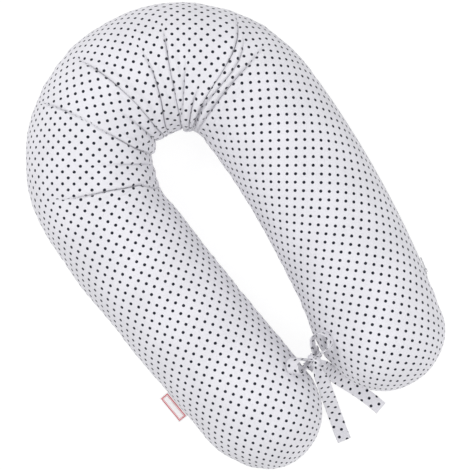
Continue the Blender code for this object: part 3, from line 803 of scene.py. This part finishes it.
def smooth_route(points, spacing=0.003):
    """Evenly spaced points on a Catmull-Rom curve through the given ones."""
    rows = [2 * points[0] - points[1], *points, 2 * points[-1] - points[-2]]
    found = []
    for k in range(1, len(rows) - 2):
        p0, p1, p2, p3 = rows[k - 1 : k + 3]
        for n in range(24):
            t = n / 24
            found.append(
                0.5 * (2 * p1 + (p2 - p0) * t + (2 * p0 - 5 * p1 + 4 * p2 - p3) * t * t
                       + (3 * p1 - p0 - 3 * p2 + p3) * t ** 3)
            )
    found.append(points[-1])
    lengths = np.concatenate([[0], np.cumsum([(b - a).length for a, b in zip(found, found[1:])])])
    count = max(8, round(lengths[-1] / spacing))
    places = np.linspace(0, lengths[-1], count + 1)
    table = np.array([p[:] for p in found])
    return [Vector([np.interp(x, lengths, table[:, k]) for k in range(3)]) for x in places], lengths[-1]


def tie_strip(name, look, stops, seed):
    """A flat tie. Each stop is (point seen from the knot, direction of its width, share of its
    full width). Where it is gathered to less than its width, it is rucked."""
    stops = [(Vector(p) + KNOT, direction, share) for p, direction, share in stops]
    route, length = smooth_route([p for p, _, _ in stops])
    reached = [0.0]
    for (a, _, _), (b, _, _) in zip(stops, stops[1:]):
        reached.append(reached[-1] + (b - a).length)
    scale = length / reached[-1]
    reached = [r * scale for r in reached]
    sides = np.array([Vector(d).normalized()[:] for _, d, _ in stops])
    shares = np.array([w for _, _, w in stops])
    last = len(route) - 1
    rings, prints = [], []
    for k, here in enumerate(route):
        along = length * k / last
        tangent = (route[min(k + 1, last)] - route[max(k - 1, 0)]).normalized()
        side = Vector([np.interp(along, reached, sides[:, n]) for n in range(3)])
        side = (side - side.dot(tangent) * tangent).normalized()
        flat = tangent.cross(side)
        share = float(np.interp(along, reached, shares))
        ruck = math.sqrt(max(0.0, 1 - share ** 2)) * TIE_WIDTH * 0.085
        sway = 0.0007 * noise.noise(Vector((along / 0.03, seed, 0)))
        ring = []
        for layer in (1, -1):
            order = range(TIE_COLUMNS + 1) if layer > 0 else range(TIE_COLUMNS, -1, -1)
            for j in order:
                x = j / TIE_COLUMNS - 0.5
                wave = ruck * math.cos(3 * math.pi * x) + sway * math.sin(5 * x + along * 60)
                edge = 1 - 0.55 * max(0.0, (abs(x) - 0.44) / 0.06)
                lift = wave + layer * TIE_THICKNESS / 2 * edge
                ring.append((here + side * (x * TIE_WIDTH * share) + flat * lift)[:])
                v = x * TIE_WIDTH
                across_print = 0.80 * along - 0.60 * v + 0.0021 * seed
                up_print = 0.60 * along + 0.80 * v + 0.0035 * seed
                prints.append((across_print, up_print, abs(v)))
        rings.append(ring)
    points = np.array(rings)
    mesh = grid_mesh(name, points, np.array(prints), closed=True)
    close_strip_ends(mesh, last, points.shape[1])
    return add_piece(name, mesh, look), route


def close_strip_ends(mesh, last, count):
    """Closes the first and last ring of a strip, from its upper layer to its lower one."""
    bm = bmesh.new()
    bm.from_mesh(mesh)
    bm.verts.ensure_lookup_table()
    for start in (0, last * count):
        for j in range(TIE_COLUMNS):
            ids = (start + j, start + j + 1, start + count - 2 - j, start + count - 1 - j)
            bm.faces.new([bm.verts[n] for n in ids])
    bmesh.ops.recalc_face_normals(bm, faces=bm.faces)
    store_smooth(bm, mesh)


def loop_stops(middle, axis, radius, opening, steps):
    """A loop of the bow: out from the knot, round a ring, and back. Its width lies along axis."""
    axis = Vector(axis).normalized()
    inward = -middle
    inward = (inward - inward.dot(axis) * axis).normalized()
    aside = axis.cross(inward)
    away = middle.normalized()
    stops = [(away * 0.0120 + aside * 0.0022, axis, 0.42)]
    for k in range(steps + 1):
        turn = math.radians(opening + (360 - 2 * opening) * k / steps)
        point = middle + radius * (math.cos(turn) * inward + math.sin(turn) * aside)
        stops.append((point, axis, 0.80 if k in (0, steps) else 1.0))
    stops.append((away * 0.0120 - aside * 0.0022, axis, 0.42))
    return stops


def left_tie_stops():
    """The left tie: its lead, its loop, and its tail along the left arm."""
    return [
        (LEFT_SEAM - KNOT + Vector((0.0018, 0, 0.0010)), (-0.12, 1.0, 0.0), 0.90),
        ((-0.0090, -0.0030, -0.0150), (-0.10, 1.0, 0.0), 0.70),
        ((-0.0045, -0.0005, -0.0080), UP_Y, 0.45),
        ((0.0, 0.0, 0.0), UP_Y, 0.40),
        *loop_stops(LEFT_LOOP_MIDDLE, LEFT_LOOP_AXIS, 0.0120, 62.0, 9),
        ((0.0, -0.0020, 0.0010), (0.7, 0.6, 0.0), 0.40),
        ((-0.0030, -0.0120, 0.0015), (1.0, 0.0, -0.2), 0.50),
        ((-0.0052, -0.0240, -0.0040), (1.0, -0.10, -0.3), 0.85),
        ((-0.0072, -0.0420, -0.0240), (1.0, -0.15, -0.3), 1.0),
        ((-0.0112, -0.0620, -0.0560), (1.0, -0.20, -0.1), 1.0),
        ((-0.0155, -0.0840, -0.0870), (1.0, -0.20, 0.1), 1.0),
        ((-0.0200, -0.1060, -0.1060), (1.0, -0.19, 0.0), 1.0),
        ((-0.0240, -0.1240, -0.1106), (1.0, -0.18, 0.0), 1.0),
        ((-0.0265, -0.1395, -0.1112), (1.0, -0.18, 0.0), 1.0),
    ]


def right_tie_stops():
    """The right tie: its lead, its loop, and its tail beside the right arm's end."""
    return [
        (RIGHT_SEAM - KNOT + Vector((-0.0018, 0, 0.0010)), (0.25, 1.0, 0.0), 0.90),
        ((0.0090, 0.0040, -0.0150), (0.15, 1.0, 0.0), 0.70),
        ((0.0045, 0.0010, -0.0080), UP_Y, 0.45),
        ((0.0, 0.0, -0.0005), UP_Y, 0.40),
        *loop_stops(RIGHT_LOOP_MIDDLE, RIGHT_LOOP_AXIS, 0.0150, 48.0, 11),
        ((0.0005, -0.0010, -0.0015), (1.0, 0.3, 0.0), 0.40),
        ((0.0050, -0.0095, -0.0065), (1.0, 0.30, -0.1), 0.55),
        ((0.0085, -0.0175, -0.0160), (1.0, 0.40, -0.2), 0.85),
        ((0.0105, -0.0275, -0.0370), (1.0, 0.45, -0.2), 1.0),
        ((0.0140, -0.0400, -0.0620), (1.0, 0.50, 0.0), 1.0),
        ((0.0200, -0.0545, -0.0830), (1.0, 0.50, 0.0), 1.0),
        ((0.0285, -0.0720, -0.0990), (1.0, 0.45, 0.0), 1.0),
        ((0.0375, -0.0925, -0.1085), (1.0, 0.40, 0.0), 1.0),
        ((0.0440, -0.1100, -0.1110), (1.0, 0.38, 0.0), 1.0),
        ((0.0495, -0.1270, -0.1112), (1.0, 0.36, 0.0), 1.0),
    ]


def knot_piece(look):
    """The knot: cloth wrapped round the crossing, with the folds of its turns."""
    rows, columns = 40, 56
    points, prints = [], []
    for i in range(rows + 1):
        up = math.pi * i / rows
        for j in range(columns):
            turn = 2 * math.pi * j / columns
            way = Vector((math.sin(up) * math.cos(turn), math.sin(up) * math.sin(turn), math.cos(up)))
            band = 0.9 * way.x + 0.55 * way.y
            groove = -0.16 * math.exp(-((band - 0.42) / 0.07) ** 2)
            groove -= 0.13 * math.exp(-((band + 0.30) / 0.06) ** 2)
            pleat = 0.035 * math.sin(11 * way.z + 6 * band) + 0.02 * noise.noise(way * 3.1)
            size = 0.5 * (1.02 + groove + pleat)
            points.append(tuple(way[k] * size * KNOT_SIZE[k] + KNOT[k] for k in range(3)))
            prints.append((0.012 * turn / 2 + 0.004, 0.011 * up + 0.002, 0.0))
    points = np.array(points).reshape(rows + 1, columns, 3)
    mesh = grid_mesh("bow_knot_wrap", points, np.array(prints), closed=True)
    tidy_mesh(mesh)
    piece = add_piece("bow_knot_wrap", mesh, look)
    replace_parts(piece, "bow_knot")
    return piece


# ---------------------------------------------------------------- the label


def label_piece(look):
    """A woven label folded in two, its cut ends in the seam."""
    place, heading = line_at(LABEL_PLACE)
    out = Vector((-math.cos(heading), math.sin(heading), 0))
    ahead = Vector((math.sin(heading), math.cos(heading), 0))
    outer = float(section(np.array([LABEL_PLACE]))[0][0])
    seam = Vector((*place, SEAM_HEIGHT)) + outer * out
    profile = []
    for k in range(13):
        profile.append((-0.001 + (LABEL_WIDTH + 0.0003) * k / 12, 1))
    for k in range(1, 6):
        turn = math.radians(90 - 180 * k / 6)
        profile.append((LABEL_WIDTH - 0.0007 + 0.0006 * math.cos(turn), math.sin(turn)))
    for k in range(13):
        profile.append((LABEL_WIDTH - 0.0007 - (LABEL_WIDTH + 0.0003) * k / 12, -1))
    rows, prints = [], []
    steps = 24
    for i in range(steps + 1):
        along = (i / steps - 0.5) * LABEL_LENGTH
        row = []
        for x, layer in profile:
            way = max(x, 0) / LABEL_WIDTH
            droop = -0.0016 * way ** 2 + 0.0005 * math.sin(along * 90) * way
            lift = Vector((0, 0, droop + layer * 0.00045))
            row.append((seam + along * ahead + x * out + lift)[:])
            prints.append((along, min(max(x, 0), LABEL_WIDTH), 0.0))
        rows.append(row)
    mesh = grid_mesh("woven_label", np.array(rows), np.array(prints))
    tidy_mesh(mesh, 1e-6)
    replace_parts(cloth_piece("woven_label", mesh, look, 0.0003, 0.0), "seam_label")


# ---------------------------------------------------------------- the zip


def skin_place(s, angle, lift):
    """A point lift metres above the skin, and the axes there: ahead, across and out."""
    points, normals = skin(np.array([s]), np.array([angle]))
    _, heading = line_at(s)
    ahead = Vector((math.sin(heading), math.cos(heading), 0))
    out = Vector(normals[0, 0])
    return Vector(points[0, 0]) + lift * out, (ahead, out.cross(ahead).normalized(), out)


def rounded_box(bm, centre, axes, size, bevel):
    """Adds a box with bevelled edges."""
    made = bmesh.ops.create_cube(bm, size=1.0)
    turn = Matrix([list(a) for a in axes]).transposed().to_4x4()
    place = Matrix.Translation(centre) @ turn @ Matrix.Diagonal((*size, 1))
    bmesh.ops.transform(bm, matrix=place, verts=made["verts"])
    edges = {e for v in made["verts"] for e in v.link_edges}
    bmesh.ops.bevel(bm, geom=list(edges), offset=bevel, segments=1, affect="EDGES")


def zip_teeth_piece(name, node, direction, look):
    """One row of closed coil teeth. The lower row stands half a tooth further on."""
    bm = bmesh.new()
    end_gap = 0.0045
    depth = ZIP_OPENING / 2 + direction * 0.0013
    angle = -math.degrees(math.asin(depth / RISE))
    offset = 0.5 if direction > 0 else 0.0
    for k in range(int((ZIP_TO - ZIP_FROM - 2 * end_gap) / TOOTH_PITCH)):
        centre, axes = skin_place(ZIP_FROM + end_gap + TOOTH_PITCH * (k + offset), angle, 0.0010)
        rounded_box(bm, centre, axes, (0.0014, 0.0030, 0.0013), 0.0003)
    mesh = bpy.data.meshes.new(name)
    store_smooth(bm, mesh)
    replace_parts(add_piece(name, mesh, look), node)


def stitch_row(name, angle, look):
    """Small stitches beside the zip, on the cover."""
    bm = bmesh.new()
    for k in range(int((ZIP_TO - ZIP_FROM) / STITCH_PITCH)):
        centre, axes = skin_place(ZIP_FROM + STITCH_PITCH * (k + 0.5), angle, 0.0001)
        rounded_box(bm, centre, axes, (0.0023, 0.0005, 0.0004), 0.00015)
    mesh = bpy.data.meshes.new(name)
    store_smooth(bm, mesh)
    add_piece(name, mesh, look)


def bevelled_copy(name, node, body, look, width):
    """A CAD node's shape with softened edges, in its place."""
    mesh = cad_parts[node].data.copy()
    mesh.name = name
    bm = bmesh.new()
    bm.from_mesh(mesh)
    bmesh.ops.remove_doubles(bm, verts=bm.verts, dist=1e-6)
    bmesh.ops.dissolve_limit(bm, angle_limit=math.radians(2), verts=bm.verts, edges=bm.edges)
    store_smooth(bm, mesh)
    piece = add_piece(name, mesh, look, body)
    soften = piece.modifiers.new("soften", "BEVEL")
    soften.width = width
    soften.segments = 3
    soften.limit_method = "ANGLE"
    soften.angle_limit = math.radians(40)
    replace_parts(piece, node)


# ---------------------------------------------------------------- camera, floor and light


def camera_and_light():
    """A camera straight above, nearly even light, and a bright floor."""
    scene = bpy.context.scene
    scene.view_settings.view_transform = "Standard"
    camera = bpy.data.cameras.new("camera")
    camera.type = "PERSP"
    camera.sensor_width = 36.0
    camera.lens = camera.sensor_width * (CAMERA_HEIGHT - SEAM_HEIGHT) / PICTURE_WIDTH
    camera.clip_end = 50.0
    holder = bpy.data.objects.new("camera", camera)
    scene.collection.objects.link(holder)
    holder.location = (0.0044, -0.0195, CAMERA_HEIGHT)
    holder.rotation_euler = (0.0, 0.0, -math.radians(PICTURE_TURN))
    scene.camera = holder

    world = bpy.data.worlds.new("studio")
    scene.world = world
    world.use_nodes = True
    background = world.node_tree.nodes["Background"]
    background.inputs[0].default_value = (0.97, 0.98, 1.0, 1.0)
    background.inputs[1].default_value = 0.60

    aim = Vector((0.0, 0.0, 0.05))
    for name, place, size, power in (
        ("key", (-0.85, 1.75, 2.2), 1.0, 24.0),
        ("fill", (0.9, -1.8, 1.8), 1.2, 11.0),
        ("overhead", (0.1, -0.2, 3.0), 2.2, 24.0),
    ):
        light = bpy.data.lights.new(name, "AREA")
        light.size = size
        light.energy = power
        lamp = bpy.data.objects.new(name, light)
        scene.collection.objects.link(lamp)
        lamp.location = place
        lamp.rotation_euler = (aim - Vector(place)).to_track_quat("-Z", "Y").to_euler()

    bm = bmesh.new()
    bmesh.ops.create_grid(bm, x_segments=1, y_segments=1, size=6.0)
    mesh = bpy.data.meshes.new("floor")
    bm.to_mesh(mesh)
    bm.free()
    floor = bpy.data.objects.new("floor", mesh)
    scene.collection.objects.link(floor)
    look = Look("floor_look")
    look.shader.inputs["Emission Color"].default_value = (1.0, 1.0, 1.0, 1.0)
    look.shader.inputs["Emission Strength"].default_value = 0.84
    look.finish((0.20, 0.20, 0.20), roughness=0.9, specular=0.0)
    floor.data.materials.append(look.material)


# ---------------------------------------------------------------- everything


def build():
    camera_and_light()
    cotton = dotted_cotton("printed_cotton_look", COTTON)
    tie_cotton = dotted_cotton("tie_cotton_look", COTTON, stitched=True)
    plain = plain_cotton("casing_look", (0.86, 0.86, 0.84))
    fibre = fibre_look()
    tape = tape_look("zip_tape_look", (0.76, 0.76, 0.78))
    teeth = plastic_look("zip_teeth_look", (0.78, 0.78, 0.80))
    metal = metal_look("zip_metal_look", (0.62, 0.62, 0.64))
    thread = plain_cotton("thread_look", (0.74, 0.74, 0.76), 3000.0)

    knot = knot_piece(tie_cotton)
    left, left_route = tie_strip("tie_left", tie_cotton, left_tie_stops(), 1)
    right, right_route = tie_strip("tie_right", tie_cotton, right_tie_stops(), 4)
    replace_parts(left, "tie_left_lead", "tie_left_loop", "tie_left_tail")
    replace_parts(right, "tie_right_lead", "tie_right_loop", "tie_right_tail")

    upper = cover_panel("cover_upper", 1, cotton)
    lower = cover_panel("cover_lower", -1, cotton)
    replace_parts(upper, "cover_top_panel")
    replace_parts(lower, "cover_bottom_panel")
    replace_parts(casing_half("casing_upper", 1, plain), "inner_casing_top")
    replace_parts(casing_half("casing_lower", -1, plain), "inner_casing_bottom")
    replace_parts(filling_piece(fibre), "filling")

    zip_teeth_piece("teeth_upper", "zip_teeth_upper", -1, teeth)
    zip_teeth_piece("teeth_lower", "zip_teeth_lower", 1, teeth)
    stitches_beside = 1.6
    stitch_row("stitches_upper", stitches_beside, thread)
    stitch_row("stitches_lower", -ZIP_ANGLE - stitches_beside, thread)
    bevelled_copy("slider", "zip_slider", "slider", metal, 0.00025)
    bevelled_copy("pull_tab", "zip_pull_tab", "pull_tab", metal, 0.0002)
    bevelled_copy("stop_open_end", "zip_open_end_stop", "pillow", metal, 0.0003)
    bevelled_copy("stop_closed_end", "zip_closed_end_stop", "pillow", metal, 0.0003)
    for node in ("zip_tape_upper", "zip_tape_lower"):
        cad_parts[node].material_slots[0].material = tape
    label_piece(label_look())


build()
